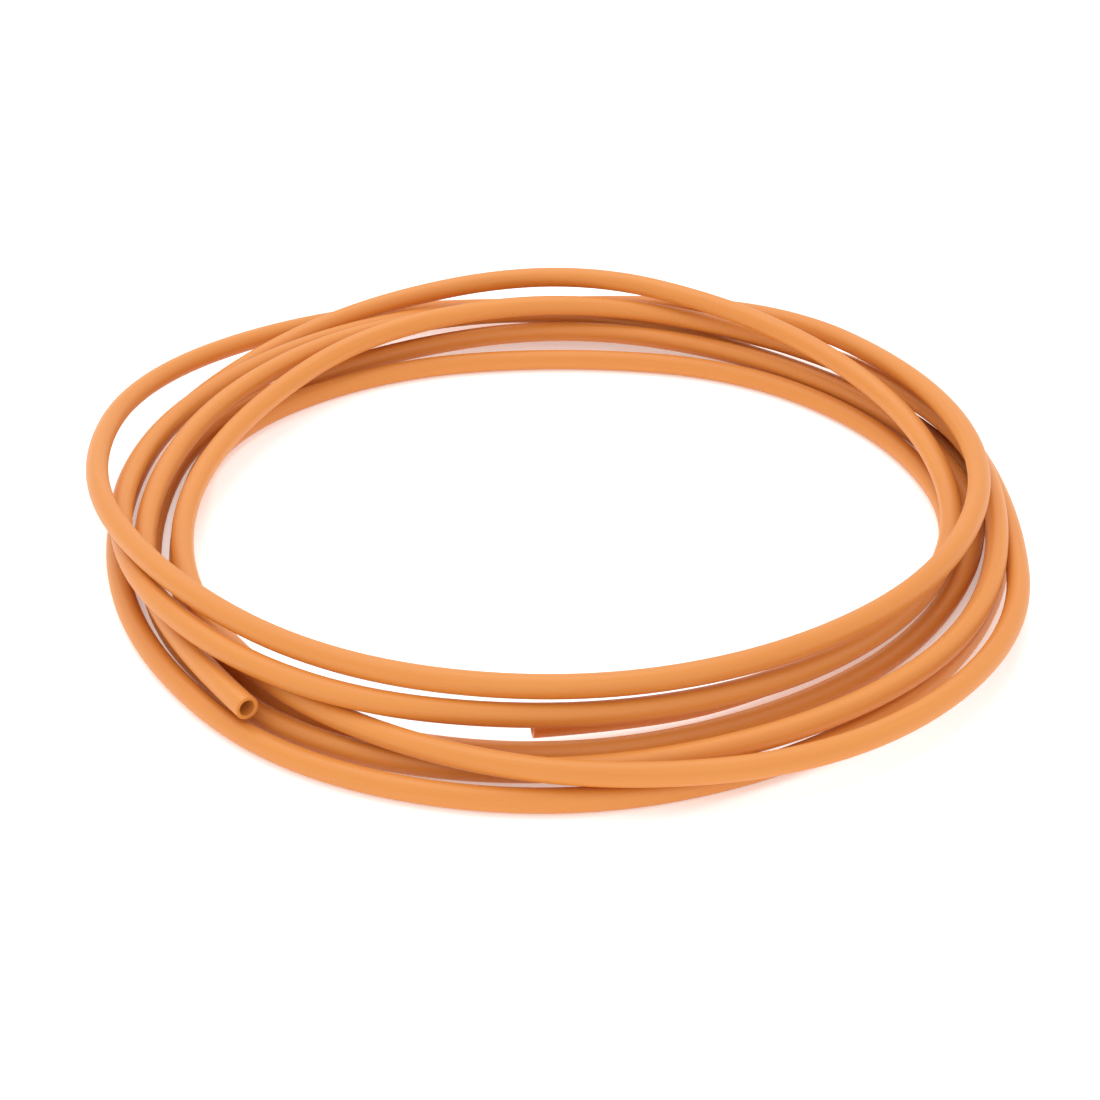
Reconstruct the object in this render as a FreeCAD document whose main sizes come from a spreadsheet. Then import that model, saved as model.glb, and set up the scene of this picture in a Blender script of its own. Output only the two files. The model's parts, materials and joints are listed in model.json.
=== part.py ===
import FreeCAD, Part
import math
import os

# A length of unterminated simplex fibre-optic cable, lying in a loose coil on a flat surface.
# Millimetres, +Z up, X to the right, +Y to the back. The lowest strands rest on z = 0.
# Every layer of the cable is a solid of its own that follows the same route from end to end:
# outer jacket, six aramid yarns, tight buffer, fibre coating, glass fibre.

DIMENSIONS = {
    "cable_diameter": 3.0,       # outside of the jacket
    "jacket_bore": 2.0,          # inside of the jacket, 0.5 mm wall
    "yarn_ring_radius": 0.73,    # from the cable's centre to the middle of each yarn
    "yarn_width": 0.66,          # across the flattened yarn, round the cable
    "yarn_thickness": 0.36,      # through the flattened yarn, outwards
    "yarn_count": 6,
    "buffer_diameter": 0.9,
    "coating_diameter": 0.25,
    "glass_diameter": 0.125,
    "yarn_recess": 2.4,          # how far the yarns stop short of the jacket's cut end
    "buffer_recess": 2.0,        # how far the buffer, coating and glass stop short of it
}

# The lay of the coil. A station is a place round the coil, STATION_STEP degrees from the next,
# clockwise from above, and a turn begins at FIRST_STATION, at the front left. Each turn lists
# the radius and the height of the cable's centre at its twelve stations. The turns are uneven,
# lean on each other and cross, as a cable does when it is wound by hand and not tied.
STATION_STEP = 30
FIRST_STATION = 150
TURNS = [
    [(57.0, 4.8), (55.2, 5.1), (56.3, 6.9), (59.3, 6.9), (63.2, 4.8), (60.4, 1.5),
     (60.0, 1.5), (58.4, 1.5), (57.7, 1.5), (59.6, 1.5), (62.3, 1.5), (62.6, 1.5)],
    [(59.3, 1.5), (59.6, 1.5), (64.9, 2.3), (66.6, 6.8), (65.2, 10.7), (57.1, 10.0),
     (54.3, 7.0), (52.1, 5.0), (50.9, 5.7), (50.6, 6.0), (51.7, 6.4), (57.0, 8.3)],
    [(58.1, 8.5), (58.9, 6.4), (61.6, 5.4), (62.5, 6.0), (66.2, 3.9), (64.3, 7.8),
     (58.3, 9.5), (55.6, 10.7), (52.9, 10.3), (50.3, 9.6), (50.8, 9.7), (53.9, 10.8)],
    [(55.9, 11.2), (62.4, 10.0), (69.7, 7.0), (70.7, 4.2), (69.8, 1.9), (66.4, 2.3),
     (62.0, 4.0), (58.4, 4.8), (63.7, 4.5), (65.2, 4.7), (61.4, 4.9), (56.3, 4.9)],
    [(52.2, 5.0), (50.3, 5.0), (51.3, 5.8), (56.2, 7.9), (59.8, 7.9), (61.0, 5.1),
     (59.4, 5.8), (57.1, 8.0), (58.9, 5.0), (58.7, 4.9), (56.7, 2.0), (58.3, 1.5)],
    [(56.0, 1.5), (55.0, 1.5), (59.3, 1.9), (58.7, 2.4), (59.8, 3.3), (57.4, 3.1),
     (57.0, 2.6), (55.7, 3.2), (52.0, 1.5), (50.7, 1.5), (52.7, 1.5), (54.5, 1.5)],
    [(52.7, 1.5), (50.7, 1.5), (56.0, 1.5), (54.9, 1.5), (52.3, 1.5), (54.7, 1.5),
     (53.8, 1.5), (52.9, 1.5), (47.9, 1.5), (45.0, 2.2)],
]
# The two ends lie between stations: angle round the coil, radius, height.
FIRST_END = (127.5, 61.2, 5.1)
LAST_END = [(77.5, 47.5, 2.4), (94.3, 49.0, 2.8)]
# The centre that the radii are measured from, placed so that the whole coil's box is centred
# on the origin.
COIL_CENTRE = (2.14, -3.78)

ARC_SHARE = 0.45                 # of the shorter run, taken by the arc at each point


def route_point(angle, radius, height):
    """A point round the coil. Angle 0 is +X, 90 is the front (-Y)."""
    turned = math.radians(angle)
    x = COIL_CENTRE[0] + radius * math.cos(turned)
    y = COIL_CENTRE[1] - radius * math.sin(turned)
    return FreeCAD.Vector(x, y, height)


def route_points():
    """The cable's route, end to end. A station's point stands outside the cable's own radius,
    because the line that follows the points cuts inside each of them."""
    outside = 1 / math.cos(math.radians(STATION_STEP / 2))
    points = [route_point(*FIRST_END)]
    for turn in TURNS:
        for station, (radius, height) in enumerate(turn):
            angle = FIRST_STATION + STATION_STEP * station
            points.append(route_point(angle, radius * outside, height))
    points += [route_point(*end) for end in LAST_END]
    return points


def shortened(points, recess):
    """The same route, stopping short of both cut ends."""
    first_run = points[1] - points[0]
    last_run = points[-2] - points[-1]
    first = points[0] + first_run.normalize() * recess
    last = points[-1] + last_run.normalize() * recess
    return [first] + points[1:-1] + [last]


def route_wire(points, recess):
    """Straight runs joined by tangent arcs, and the arcs' radii. The arcs are sized on the
    whole route, so that every layer follows the same line."""
    edges = []
    radii = []
    ends = shortened(points, recess)
    here = ends[0]
    for before, corner, after in zip(points, points[1:], points[2:]):
        back = before - corner
        ahead = after - corner
        reach = ARC_SHARE * min(back.Length, ahead.Length)
        turn = math.pi - back.getAngle(ahead)
        radius = reach / math.tan(turn / 2)
        back.normalize()
        ahead.normalize()
        start = corner + back * reach
        end = corner + ahead * reach
        inward = (back + ahead).normalize()
        middle = corner + inward * (radius / math.cos(turn / 2) - radius)
        edges.append(Part.LineSegment(here, start).toShape())
        edges.append(Part.Arc(start, middle, end).toShape())
        radii.append(radius)
        here = end
    edges.append(Part.LineSegment(here, ends[-1]).toShape())
    return Part.Wire(edges), radii


def make_sheet(doc):
    sheet = doc.addObject("Spreadsheet::Sheet", "Dimensions")
    for row, (name, value) in enumerate(DIMENSIONS.items(), start=1):
        sheet.set("A%d" % row, name)
        sheet.set("B%d" % row, str(value))
        sheet.setAlias("B%d" % row, name)
    doc.recompute()
    return sheet


def make_path(doc, name, points, recess):
    path = doc.addObject("Part::Feature", name)
    path.Shape, radii = route_wire(points, recess)
    return path, radii


def start_frame(path, aside=0.0, around=0.0):
    """The placement of a section at the path's start, square to the cable, aside from its
    centre by a distance, in the direction that around gives in degrees."""
    edge = path.Shape.OrderedEdges[0]
    tangent = edge.tangentAt(edge.FirstParameter)
    square = FreeCAD.Rotation(FreeCAD.Vector(0, 0, 1), tangent)
    spin = FreeCAD.Rotation(FreeCAD.Vector(0, 0, 1), around)
    turned = square.multiply(spin)
    centre = edge.valueAt(edge.FirstParameter)
    return FreeCAD.Placement(centre + turned.multVec(FreeCAD.Vector(aside, 0, 0)), turned)


def circle_section(doc, name, path, diameter):
    circle = doc.addObject("Part::Circle", name)
    circle.setExpression("Radius", "Dimensions.%s / 2" % diameter)
    circle.Placement = start_frame(path)
    return circle


def yarn_section(doc, name, path, aside, around):
    """A flattened yarn's outline, its long way round the cable."""
    outline = doc.addObject("Part::Ellipse", name)
    outline.setExpression("MajorRadius", "Dimensions.yarn_width / 2")
    outline.setExpression("MinorRadius", "Dimensions.yarn_thickness / 2")
    frame = start_frame(path, aside, around)
    quarter_turn = FreeCAD.Rotation(FreeCAD.Vector(0, 0, 1), 90)
    outline.Placement = FreeCAD.Placement(frame.Base, frame.Rotation.multiply(quarter_turn))
    return outline


def sweep(doc, name, section, path):
    rod = doc.addObject("Part::Sweep", name)
    rod.Sections = [section]
    rod.Spine = (path, [])
    rod.Solid = True
    rod.Frenet = False
    return rod


def cut(doc, label, outside, inside):
    tube = doc.addObject("Part::Cut", label)
    tube.Base = outside
    tube.Tool = inside
    tube.Label = label
    return tube


def make_tube(doc, label, outer_path, bore_path, outer, bore):
    """A layer with a round bore. The bore's path runs at least as far as the outer path."""
    outside_section = circle_section(doc, label + "_outer_section", outer_path, outer)
    bore_section = circle_section(doc, label + "_bore_section", bore_path, bore)
    outside = sweep(doc, label + "_outside", outside_section, outer_path)
    inside = sweep(doc, label + "_inside", bore_section, bore_path)
    return cut(doc, label, outside, inside)


def make_rod(doc, label, section, path):
    rod = sweep(doc, label, section, path)
    rod.Label = label
    return rod


def check(doc, parts):
    for item in doc.Objects:
        if "Invalid" in item.State or "Error" in item.State:
            raise RuntimeError("%s did not build: %s" % (item.Name, item.State))
    for part in parts:
        if part.Shape.isNull() or not part.Shape.isValid() or len(part.Shape.Solids) != 1:
            raise RuntimeError("%s is not one valid solid" % part.Label)


def main():
    doc = FreeCAD.newDocument("coiled_cable")
    sheet = make_sheet(doc)
    points = route_points()
    jacket_path, radii = make_path(doc, "jacket_path", points, 0.0)
    yarn_path, _ = make_path(doc, "yarn_path", points, sheet.yarn_recess)
    core_path, _ = make_path(doc, "core_path", points, sheet.buffer_recess)

    jacket = make_tube(doc, "outer_jacket", jacket_path, jacket_path,
                       "cable_diameter", "jacket_bore")
    parts = [jacket]
    for number in range(int(sheet.yarn_count)):
        name = "aramid_yarn_%d" % (number + 1)
        around = 360 * number / sheet.yarn_count
        outline = yarn_section(doc, name + "_section", yarn_path, sheet.yarn_ring_radius, around)
        parts.append(make_rod(doc, name, outline, yarn_path))
    parts.append(make_tube(doc, "tight_buffer", core_path, core_path,
                           "buffer_diameter", "coating_diameter"))
    parts.append(make_tube(doc, "fibre_coating", core_path, core_path,
                           "coating_diameter", "glass_diameter"))
    glass_section = circle_section(doc, "glass_section", core_path, "glass_diameter")
    parts.append(make_rod(doc, "glass_fibre", glass_section, core_path))
    doc.recompute()
    check(doc, parts)

    length = jacket_path.Shape.Length
    ring = math.pi / 4 * (sheet.cable_diameter ** 2 - sheet.jacket_bore ** 2)
    print("route points", len(points), "length %.1f mm" % length)
    print("arc radii %.1f to %.1f mm:" % (min(radii), max(radii)),
          " ".join("%.0f" % radius for radius in radii))
    print("jacket volume %.1f, section x length %.1f" % (jacket.Shape.Volume, ring * length))

    os.makedirs("parts", exist_ok=True)
    for part in parts:
        part.Shape.exportStep("parts/%s.step" % part.Label)


main()
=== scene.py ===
import json
import math

import bpy
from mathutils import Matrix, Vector


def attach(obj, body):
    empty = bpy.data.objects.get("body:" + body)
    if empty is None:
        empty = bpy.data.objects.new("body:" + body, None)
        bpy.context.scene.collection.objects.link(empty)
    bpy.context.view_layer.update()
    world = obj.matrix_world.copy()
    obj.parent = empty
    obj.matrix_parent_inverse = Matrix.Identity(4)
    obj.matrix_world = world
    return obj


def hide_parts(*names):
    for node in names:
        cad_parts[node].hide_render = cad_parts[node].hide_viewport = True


# A length of bare simplex fibre-optic cable in a loose coil. Metres, in the row's frame.
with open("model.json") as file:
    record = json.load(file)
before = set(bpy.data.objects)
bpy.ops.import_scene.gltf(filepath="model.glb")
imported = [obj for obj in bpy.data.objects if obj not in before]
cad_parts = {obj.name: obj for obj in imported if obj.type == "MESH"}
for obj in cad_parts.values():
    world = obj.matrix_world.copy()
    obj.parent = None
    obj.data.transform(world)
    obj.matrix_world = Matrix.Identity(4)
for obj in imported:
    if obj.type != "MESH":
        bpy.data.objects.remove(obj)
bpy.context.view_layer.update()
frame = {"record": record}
mounts = {mount["name"]: mount for mount in frame["record"]["mounts"]}

# The cable's layers, from the outside in.
MM = 0.001
CABLE_RADIUS = mounts["cable_end_front_left"]["dims"]["r_mm"] * MM
BORE_RADIUS = CABLE_RADIUS / 3 * 2
YARN_COUNT = 6
YARN_RING_RADIUS = 0.00073
YARN_HALF_WIDTH = 0.00033
YARN_HALF_THICKNESS = 0.00018
BUFFER_RADIUS = 0.00045
COATING_RADIUS = 0.000125
GLASS_RADIUS = 0.0000625
CLEARANCE = 0.000004            # between the buffer, the coating and the glass
YARN_RECESS = 0.0024            # how far the yarns stop short of the jacket's cut end
BUFFER_RECESS = 0.0020          # how far the buffer, the coating and the glass do
JACKET_LIP = 0.00007            # the rounding left on the jacket's cut edges
BUFFER_LIP = 0.00003
COATING_LIP = 0.00001

# How finely each layer is faceted: points round it, and steps along each span of the route.
JACKET_SIDES = 32
YARN_SIDES = 12
BUFFER_SIDES = 20
COATING_SIDES = 16
GLASS_SIDES = 12
STEPS_PER_SPAN = 14
LEAST_STEP = 0.0001             # the shortest step beside a cut end

# The lay of the coil: the radius and the height of the cable's centre at twelve stations of
# each turn, clockwise from above, starting at the front left.
STATION_STEP = 30
FIRST_STATION = 150
TURNS = [
    [(0.0570, 0.0048), (0.0552, 0.0051), (0.0563, 0.0069), (0.0593, 0.0069),
     (0.0632, 0.0048), (0.0604, 0.0015), (0.0600, 0.0015), (0.0584, 0.0015),
     (0.0577, 0.0015), (0.0596, 0.0015), (0.0623, 0.0015), (0.0626, 0.0015)],
    [(0.0593, 0.0015), (0.0596, 0.0015), (0.0649, 0.0023), (0.0666, 0.0068),
     (0.0652, 0.0107), (0.0571, 0.0100), (0.0543, 0.0070), (0.0521, 0.0050),
     (0.0509, 0.0057), (0.0506, 0.0060), (0.0517, 0.0064), (0.0570, 0.0083)],
    [(0.0581, 0.0085), (0.0589, 0.0064), (0.0616, 0.0054), (0.0625, 0.0060),
     (0.0662, 0.0039), (0.0643, 0.0078), (0.0583, 0.0095), (0.0556, 0.0107),
     (0.0529, 0.0103), (0.0503, 0.0096), (0.0508, 0.0097), (0.0539, 0.0108)],
    [(0.0559, 0.0112), (0.0624, 0.0100), (0.0697, 0.0070), (0.0707, 0.0042),
     (0.0698, 0.0019), (0.0664, 0.0023), (0.0620, 0.0040), (0.0584, 0.0048),
     (0.0637, 0.0045), (0.0652, 0.0047), (0.0614, 0.0049), (0.0563, 0.0049)],
    [(0.0522, 0.0050), (0.0503, 0.0050), (0.0513, 0.0058), (0.0562, 0.0079),
     (0.0598, 0.0079), (0.0610, 0.0051), (0.0594, 0.0058), (0.0571, 0.0080),
     (0.0589, 0.0050), (0.0587, 0.0049), (0.0567, 0.0020), (0.0583, 0.0015)],
    [(0.0560, 0.0015), (0.0550, 0.0015), (0.0593, 0.0019), (0.0587, 0.0024),
     (0.0598, 0.0033), (0.0574, 0.0031), (0.0570, 0.0026), (0.0557, 0.0032),
     (0.0520, 0.0015), (0.0507, 0.0015), (0.0527, 0.0015), (0.0545, 0.0015)],
    [(0.0527, 0.0015), (0.0507, 0.0015), (0.0560, 0.0015), (0.0549, 0.0015),
     (0.0523, 0.0015), (0.0547, 0.0015), (0.0538, 0.0015), (0.0529, 0.0015),
     (0.0479, 0.0015), (0.0450, 0.0022)],
]
FIRST_END = (127.5, 0.0612, 0.0051)
LAST_END = [(77.5, 0.0475, 0.0024), (94.3, 0.0490, 0.0028)]
COIL_CENTRE = (0.00214, -0.00378)

FLOOR_REACH = 6.0

# The camera looks at the coil's centre on the floor, from the front.
CAMERA_ELEVATION = 30
CAMERA_DISTANCE = 0.3416
CAMERA_LENS = 82.3
CAMERA_SHIFT = (-0.0118, -0.0091)


def route_point(angle, radius, height):
    """A point round the coil. Angle 0 is +X, 90 is the front (-Y)."""
    turned = math.radians(angle)
    x = COIL_CENTRE[0] + radius * math.cos(turned)
    y = COIL_CENTRE[1] - radius * math.sin(turned)
    return Vector((x, y, height))


def route_points():
    """The cable's route from end to end. A station's point stands outside the cable's own
    radius, because the line cuts inside it."""
    outside = 1 / math.cos(math.radians(STATION_STEP / 2))
    points = [route_point(*FIRST_END)]
    for turn in TURNS:
        for station, (radius, height) in enumerate(turn):
            angle = FIRST_STATION + STATION_STEP * station
            points.append(route_point(angle, radius * outside, height))
    points += [route_point(*end) for end in LAST_END]
    return points


def make_camera():
    data = bpy.data.cameras.new("camera")
    data.lens = CAMERA_LENS
    data.shift_x, data.shift_y = CAMERA_SHIFT
    data.clip_start = 0.01
    camera = bpy.data.objects.new("camera", data)
    raised = math.radians(CAMERA_ELEVATION)
    back = Vector((0, -math.cos(raised), math.sin(raised)))
    camera.location = Vector((*COIL_CENTRE, 0)) + back * CAMERA_DISTANCE
    camera.rotation_euler = (math.radians(90) - raised, 0, 0)
    bpy.context.collection.objects.link(camera)
    bpy.context.scene.camera = camera


def smooth_line(points):
    """The points of the smooth line that the route's NURBS spline makes."""
    curve = bpy.data.curves.new("cable_route", "CURVE")
    curve.dimensions = "3D"
    curve.resolution_u = STEPS_PER_SPAN
    spline = curve.splines.new("NURBS")
    spline.points.add(len(points) - 1)
    for control, point in zip(spline.points, points):
        control.co = (*point, 1)
    spline.order_u = 3
    spline.use_endpoint_u = True
    holder = bpy.data.objects.new("cable_route", curve)
    mesh = bpy.data.meshes.new_from_object(holder)
    line = [vertex.co.copy() for vertex in mesh.vertices]
    bpy.data.objects.remove(holder)
    bpy.data.meshes.remove(mesh)
    bpy.data.curves.remove(curve)
    return line


class Stations:
    """Square frames along the line, each turned as little as possible from the one before."""

    def __init__(self, line):
        self.places = line
        self.distances = [0.0]
        for here, there in zip(line, line[1:]):
            self.distances.append(self.distances[-1] + (there - here).length)
        self.length = self.distances[-1]
        self.tangents = []
        for index in range(len(line)):
            before = line[max(index - 1, 0)]
            after = line[min(index + 1, len(line) - 1)]
            self.tangents.append((after - before).normalized())
        self.sides = []
        side = self.tangents[0].orthogonal()
        for tangent in self.tangents:
            side = (side - tangent * side.dot(tangent)).normalized()
            self.sides.append(side)

    def at(self, index):
        return (self.places[index], self.tangents[index], self.sides[index],
                self.distances[index])

    def between(self, recess):
        """The stations that lie more than a recess inside both ends, with one more at the
        recess itself on each side."""
        nearest = recess + LEAST_STEP
        inside = [self.at(index) for index, distance in enumerate(self.distances)
                  if nearest < distance < self.length - nearest]
        first = self.cut(recess, inside[0])
        last = self.cut(self.length - recess, inside[-1])
        return [first] + inside + [last]

    def cut(self, distance, near):
        """A station at an exact distance along, close to a given one."""
        place, tangent, side, there = near
        return place + tangent * (distance - there), tangent, side, distance


def ring(station, outline, push=0.0):
    """The outline's points round a station, pushed along the cable, each with its place on
    the cable as it would lie unrolled and straight."""
    place, tangent, side, distance = station
    up = tangent.cross(side)
    return [(place + tangent * push + side * across + up * out, (across, out, distance + push))
            for across, out in outline]


def circle(radius, sides):
    angles = [math.tau * step / sides for step in range(sides)]
    return [(radius * math.cos(angle), radius * math.sin(angle)) for angle in angles]


def ellipse(centre_radius, around, half_width, half_thickness, sides):
    """A flattened outline that lies aside from the cable's centre, its long way round it."""
    outwards = Vector((math.cos(around), math.sin(around)))
    along = Vector((-outwards.y, outwards.x))
    points = []
    for step in range(sides):
        turned = math.tau * step / sides
        point = (outwards * (centre_radius + half_thickness * math.cos(turned))
                 + along * half_width * math.sin(turned))
        points.append((point.x, point.y))
    return points


def loft(name, rings, closed, material):
    """A solid through rings of equally many points. A closed one joins its last ring to its
    first, and any other has a cap on each end."""
    sides = len(rings[0])
    vertices = [point for one in rings for point, _ in one]
    unrolled = [value for one in rings for _, place in one for value in place]
    faces = []
    last = len(rings) if closed else len(rings) - 1
    for row in range(last):
        here = row * sides
        there = (row + 1) % len(rings) * sides
        for step in range(sides):
            following = (step + 1) % sides
            faces.append((here + step, here + following, there + following, there + step))
    if not closed:
        end = (len(rings) - 1) * sides
        faces.append(tuple(reversed(range(sides))))
        faces.append(tuple(range(end, end + sides)))
    mesh = bpy.data.meshes.new(name)
    mesh.from_pydata(vertices, [], faces)
    mesh.polygons.foreach_set("use_smooth", [True] * len(faces))
    straight = mesh.attributes.new("unrolled", "FLOAT_VECTOR", "POINT")
    straight.data.foreach_set("vector", unrolled)
    mesh.materials.append(material)
    mesh.update()
    piece = bpy.data.objects.new(name, mesh)
    bpy.context.collection.objects.link(piece)
    return piece


def tube(name, stations, radius, bore, lip, sides, material):
    """A layer with a round bore, the edges of its two cut ends rounded a little. Its rings run
    along the outside, over the far end, back through the bore and over the first end."""
    quarter = [math.radians(angle) for angle in (90, 60, 30, 0)]
    rings = []
    first, last = stations[0], stations[-1]

    def edge(station, wall_radius, inwards, way, steps):
        """The rings of one rounded edge. Inwards is the sign that takes the wall's radius into
        the material, and way is the sign that goes from this end into the cable."""
        for angle in steps:
            shrunk = wall_radius + inwards * lip * (1 - math.sin(angle))
            push = way * lip * (1 - math.cos(angle))
            rings.append(ring(station, circle(shrunk, sides), push))

    edge(first, radius, -1, 1, reversed(quarter))
    rings.extend(ring(station, circle(radius, sides)) for station in stations[1:-1])
    edge(last, radius, -1, -1, quarter)
    edge(last, bore, 1, -1, reversed(quarter))
    rings.extend(ring(station, circle(bore, sides)) for station in reversed(stations[1:-1]))
    edge(first, bore, 1, 1, quarter)
    return loft(name, rings, True, material)


def rod(name, stations, outline, material):
    return loft(name, [ring(station, outline) for station in stations], False, material)


def new_material(name):
    material = bpy.data.materials.new(name)
    material.use_nodes = True
    nodes = material.node_tree.nodes
    nodes.clear()
    shader = nodes.new("ShaderNodeBsdfPrincipled")
    output = nodes.new("ShaderNodeOutputMaterial")
    material.node_tree.links.new(shader.outputs["BSDF"], output.inputs["Surface"])
    return material, shader


def unrolled_noise(material, scale, stretch, detail):
    """Noise on the cable's surface, laid on it as if it were straight: scale is in features per
    metre round the cable, and stretch is how many times longer the features are along it."""
    nodes, links = material.node_tree.nodes, material.node_tree.links
    place = nodes.new("ShaderNodeAttribute")
    place.attribute_name = "unrolled"
    squeeze = nodes.new("ShaderNodeVectorMath")
    squeeze.operation = "MULTIPLY"
    squeeze.inputs[1].default_value = (scale, scale, scale / stretch)
    noise = nodes.new("ShaderNodeTexNoise")
    noise.inputs["Scale"].default_value = 1
    noise.inputs["Detail"].default_value = detail
    links.new(place.outputs["Vector"], squeeze.inputs[0])
    links.new(squeeze.outputs["Vector"], noise.inputs["Vector"])
    return noise.outputs["Fac"]


def remapped(material, value, low, high, from_low=0.3, from_high=0.7):
    nodes, links = material.node_tree.nodes, material.node_tree.links
    spread = nodes.new("ShaderNodeMapRange")
    spread.inputs["From Min"].default_value = from_low
    spread.inputs["From Max"].default_value = from_high
    spread.inputs["To Min"].default_value = low
    spread.inputs["To Max"].default_value = high
    links.new(value, spread.inputs["Value"])
    return spread.outputs["Result"]


def mixed_colour(material, factor, first, second):
    nodes, links = material.node_tree.nodes, material.node_tree.links
    mix = nodes.new("ShaderNodeMix")
    mix.data_type = "RGBA"
    for socket, colour in (("A", first), ("B", second)):
        mine = next(one for one in mix.inputs if one.name == socket and one.type == "RGBA")
        if isinstance(colour, tuple):
            mine.default_value = (*colour, 1)
        else:
            links.new(colour, mine)
    links.new(factor, mix.inputs["Factor"])
    return next(one for one in mix.outputs if one.type == "RGBA")


def bumped(material, height, depth, before=None):
    """A bump of a height map whose full range is depth, in metres."""
    nodes, links = material.node_tree.nodes, material.node_tree.links
    bump = nodes.new("ShaderNodeBump")
    bump.inputs["Strength"].default_value = 1
    bump.inputs["Distance"].default_value = depth
    links.new(height, bump.inputs["Height"])
    if before is not None:
        links.new(before, bump.inputs["Normal"])
    return bump.outputs["Normal"]


def jacket_material():
    """Orange PVC: a satin skin with a fine grain, faint lines drawn along it by the die and
    slow changes of shade along the cable."""
    material, shader = new_material("orange PVC jacket")
    links = material.node_tree.links
    shade = unrolled_noise(material, 400, 12, 3)
    lines = unrolled_noise(material, 2600, 60, 2)
    grain = unrolled_noise(material, 6500, 1.6, 3)
    slow = mixed_colour(material, remapped(material, shade, 0, 1),
                        (0.655, 0.232, 0.038), (0.695, 0.258, 0.047))
    lined = mixed_colour(material, remapped(material, lines, 0, 0.35), slow,
                         (0.625, 0.205, 0.030))
    links.new(lined, shader.inputs["Base Color"])
    links.new(remapped(material, grain, 0.40, 0.52), shader.inputs["Roughness"])
    drawn = bumped(material, lines, 0.000010)
    links.new(bumped(material, grain, 0.000006, drawn), shader.inputs["Normal"])
    shader.inputs["IOR"].default_value = 1.5
    return material


def yarn_material():
    """Aramid yarn: fine straw-yellow filaments that run with the cable."""
    material, shader = new_material("aramid yarn")
    links = material.node_tree.links
    filaments = unrolled_noise(material, 45000, 300, 2)
    colour = mixed_colour(material, remapped(material, filaments, 0, 1),
                          (0.50, 0.33, 0.08), (0.80, 0.60, 0.22))
    links.new(colour, shader.inputs["Base Color"])
    links.new(remapped(material, filaments, 0.62, 0.45), shader.inputs["Roughness"])
    links.new(bumped(material, filaments, 0.000012), shader.inputs["Normal"])
    shader.inputs["Sheen Weight"].default_value = 0.3
    return material


def buffer_material():
    """The tight buffer: smooth off-white plastic with faint lines along it."""
    material, shader = new_material("tight buffer")
    links = material.node_tree.links
    lines = unrolled_noise(material, 9000, 80, 2)
    colour = mixed_colour(material, remapped(material, lines, 0, 1),
                          (0.70, 0.70, 0.66), (0.80, 0.79, 0.74))
    links.new(colour, shader.inputs["Base Color"])
    links.new(remapped(material, lines, 0.32, 0.42), shader.inputs["Roughness"])
    links.new(bumped(material, lines, 0.000004), shader.inputs["Normal"])
    return material


def coating_material():
    """The fibre's acrylate coating: a thin, glossy, slightly cloudy layer."""
    material, shader = new_material("fibre coating")
    links = material.node_tree.links
    cloud = unrolled_noise(material, 20000, 20, 2)
    colour = mixed_colour(material, remapped(material, cloud, 0, 1),
                          (0.66, 0.70, 0.70), (0.74, 0.77, 0.76))
    links.new(colour, shader.inputs["Base Color"])
    links.new(remapped(material, cloud, 0.14, 0.22), shader.inputs["Roughness"])
    return material


def glass_material():
    """The silica fibre: bright, smooth glass with a cleaved end."""
    material, shader = new_material("silica fibre")
    links = material.node_tree.links
    cloud = unrolled_noise(material, 30000, 30, 2)
    colour = mixed_colour(material, remapped(material, cloud, 0, 1),
                          (0.84, 0.90, 0.92), (0.90, 0.94, 0.95))
    links.new(colour, shader.inputs["Base Color"])
    links.new(remapped(material, cloud, 0.02, 0.05), shader.inputs["Roughness"])
    shader.inputs["Transmission Weight"].default_value = 0.6
    shader.inputs["IOR"].default_value = 1.46
    return material


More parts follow.
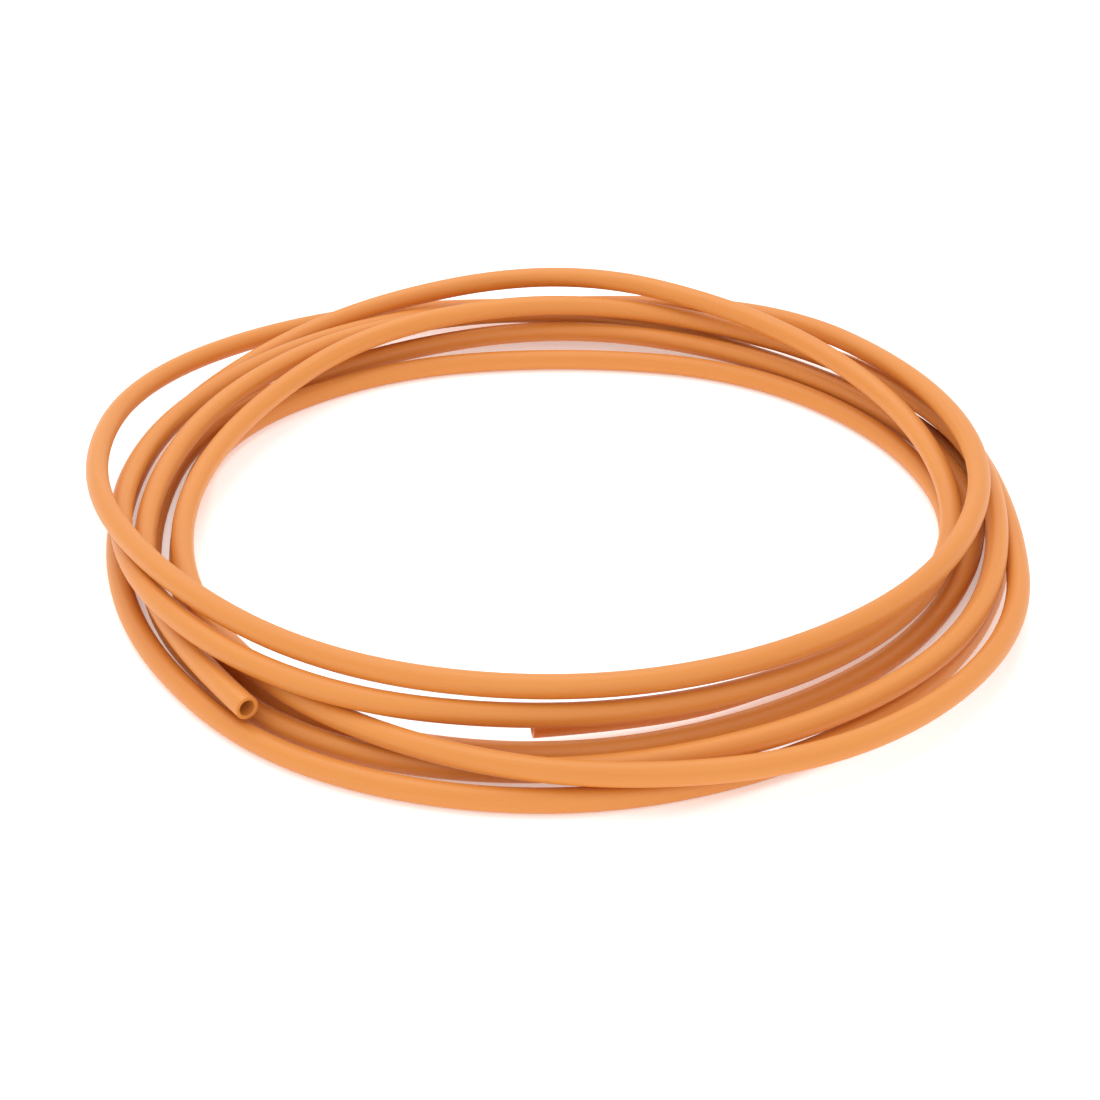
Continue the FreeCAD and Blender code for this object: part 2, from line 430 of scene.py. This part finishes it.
def make_cable(line):
    """Every layer of the cable along the same line, as a piece of its own."""
    stations = Stations(line)
    whole = stations.between(0)
    yarn_run = stations.between(YARN_RECESS)
    core_run = stations.between(BUFFER_RECESS)

    jacket = tube("cable_jacket", whole, CABLE_RADIUS, BORE_RADIUS, JACKET_LIP, JACKET_SIDES,
                  jacket_material())
    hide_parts("outer_jacket")
    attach(jacket, "root")

    yarn = yarn_material()
    for number in range(YARN_COUNT):
        around = math.tau * number / YARN_COUNT
        outline = ellipse(YARN_RING_RADIUS, around, YARN_HALF_WIDTH, YARN_HALF_THICKNESS,
                          YARN_SIDES)
        piece = rod("yarn_bundle_%d" % (number + 1), yarn_run, outline, yarn)
        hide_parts("aramid_yarn_%d" % (number + 1))
        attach(piece, "root")

    buffer = tube("buffer_tube", core_run, BUFFER_RADIUS, COATING_RADIUS + CLEARANCE,
                  BUFFER_LIP, BUFFER_SIDES, buffer_material())
    coating = tube("coating_layer", core_run, COATING_RADIUS, GLASS_RADIUS + CLEARANCE,
                   COATING_LIP, COATING_SIDES, coating_material())
    glass = rod("silica_fibre", core_run, circle(GLASS_RADIUS, GLASS_SIDES), glass_material())
    for piece, node, slot in ((buffer, "tight_buffer", "buffer"),
                              (coating, "fibre_coating", "coating"),
                              (glass, "glass_fibre", "fibre_glass")):
        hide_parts(node)
        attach(piece, "root")


def make_floor():
    """A plain white studio floor that glows a little, as a light table does."""
    material, shader = new_material("studio floor")
    nodes, links = material.node_tree.nodes, material.node_tree.links
    where = nodes.new("ShaderNodeTexCoord")
    cloud = nodes.new("ShaderNodeTexNoise")
    cloud.inputs["Scale"].default_value = 2
    links.new(where.outputs["Object"], cloud.inputs["Vector"])
    colour = mixed_colour(material, cloud.outputs["Fac"],
                          (0.90, 0.90, 0.90), (0.92, 0.92, 0.92))
    links.new(colour, shader.inputs["Base Color"])
    shader.inputs["Roughness"].default_value = 0.9
    shader.inputs["Specular IOR Level"].default_value = 0.1
    shader.inputs["Emission Color"].default_value = (1, 1, 1, 1)
    shader.inputs["Emission Strength"].default_value = 0.3
    mesh = bpy.data.meshes.new("studio_floor")
    reach = FLOOR_REACH
    corners = [(-reach, -reach, 0), (reach, -reach, 0), (reach, reach, 0), (-reach, reach, 0)]
    mesh.from_pydata(corners, [], [(0, 1, 2, 3)])
    mesh.materials.append(material)
    floor = bpy.data.objects.new("studio_floor", mesh)
    bpy.context.collection.objects.link(floor)


def area_light(name, place, aim, size, power):
    data = bpy.data.lights.new(name, "AREA")
    data.shape = "SQUARE"
    data.size = size
    data.energy = power
    light = bpy.data.objects.new(name, data)
    light.location = place
    light.rotation_euler = (Vector(aim) - Vector(place)).to_track_quat("-Z", "Y").to_euler()
    bpy.context.collection.objects.link(light)


def make_lights():
    world = bpy.data.worlds.new("studio")
    world.use_nodes = True
    background = world.node_tree.nodes["Background"]
    background.inputs["Color"].default_value = (1, 1, 1, 1)
    background.inputs["Strength"].default_value = 1.05
    bpy.context.scene.world = world
    area_light("overhead softbox", (-0.15, 0.25, 0.80), (0, 0, 0), 0.8, 2.7)
    area_light("front softbox", (0.25, -0.70, 0.60), (0, 0, 0), 0.6, 0.4)
    view = bpy.context.scene.view_settings
    view.view_transform = "Standard"
    view.look = "None"


make_camera()
make_cable(smooth_line(route_points()))
make_floor()
make_lights()
